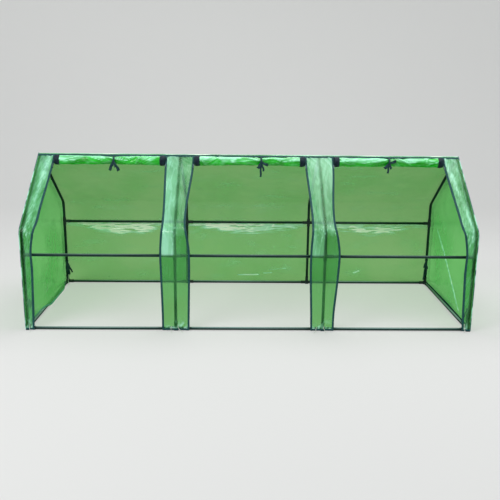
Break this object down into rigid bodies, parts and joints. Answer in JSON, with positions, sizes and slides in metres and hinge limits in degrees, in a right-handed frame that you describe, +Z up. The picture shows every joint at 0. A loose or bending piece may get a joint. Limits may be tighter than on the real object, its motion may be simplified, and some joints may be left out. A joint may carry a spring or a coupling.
{
  "type": "mini greenhouse",
  "caption": "Low greenhouse of steel tube and green film with a pitched roof and roll-up doors tied under the ridge on its front slope.",
  "frame": {"origin": "centre of the footprint, at the ground under the middle of the greenhouse", "axes": "+X along the ridge to the right as seen from the doors, +Y from the doors to the rear wall, +Z up"},
  "size_m": [2.4, 0.9, 0.9],
  "materials": {
    "frame_tube": "dark green powder coat, half gloss",
    "connector": "moulded near-black plastic",
    "cover_film": "clear green polyethylene film, creased",
    "door_film": "the same film rolled up, so it reads as solid bright green",
    "ribbon": "dark woven binding ribbon"
  },
  "bodies": {
    "frame": {"front_frame_tube_1": "frame_tube", "front_frame_tube_2": "frame_tube", "front_frame_tube_3": "frame_tube", "front_frame_tube_4": "frame_tube", "rear_frame_tube_1": "frame_tube", "rear_frame_tube_2": "frame_tube", "rear_frame_tube_3": "frame_tube", "rear_frame_tube_4": "frame_tube", "ridge_rail_1": "frame_tube", "ridge_rail_2": "frame_tube", "ridge_rail_3": "frame_tube", "front_mid_rail_1": "frame_tube", "front_mid_rail_2": "frame_tube", "front_mid_rail_3": "frame_tube", "rear_mid_rail_1": "frame_tube", "rear_mid_rail_2": "frame_tube", "rear_mid_rail_3": "frame_tube", "front_bottom_rail_1": "frame_tube", "front_bottom_rail_2": "frame_tube", "front_bottom_rail_3": "frame_tube", "rear_bottom_rail_1": "frame_tube", "rear_bottom_rail_2": "frame_tube", "rear_bottom_rail_3": "frame_tube", "left_ground_tube": "frame_tube", "right_ground_tube": "frame_tube", "front_ground_connector_1": "connector", "front_ground_connector_2": "connector", "front_ground_connector_3": "connector", "front_ground_connector_4": "connector", "rear_ground_connector_1": "connector", "rear_ground_connector_2": "connector", "rear_ground_connector_3": "connector", "rear_ground_connector_4": "connector", "front_mid_connector_1": "connector", "front_mid_connector_2": "connector", "front_mid_connector_3": "connector", "front_mid_connector_4": "connector", "rear_mid_connector_1": "connector", "rear_mid_connector_2": "connector", "rear_mid_connector_3": "connector", "rear_mid_connector_4": "connector", "ridge_connector_1": "connector", "ridge_connector_2": "connector", "ridge_connector_3": "connector", "ridge_connector_4": "connector", "rear_wall_film": "cover_film", "roof_film": "cover_film", "left_gable_film": "cover_film", "right_gable_film": "cover_film", "column_film_1": "cover_film", "column_film_2": "cover_film", "left_end_strip_film": "cover_film", "right_end_strip_film": "cover_film"},
    "left_door": {"door_roll_1": "door_film", "door_tie_1": "ribbon"},
    "middle_door": {"door_roll_2": "door_film", "door_tie_2": "ribbon"},
    "right_door": {"door_roll_3": "door_film", "door_tie_3": "ribbon"}
  },
  "joints": [
    {"name": "left_door_slide", "type": "slide", "parent": "frame", "child": "left_door", "axis": [0, -0.7828, -0.6223], "range_m": [0, 0.48]},
    {"name": "middle_door_slide", "type": "slide", "parent": "frame", "child": "middle_door", "axis": [0, -0.7828, -0.6223], "range_m": [0, 0.48]},
    {"name": "right_door_slide", "type": "slide", "parent": "frame", "child": "right_door", "axis": [0, -0.7828, -0.6223], "range_m": [0, 0.48]}
  ]
}
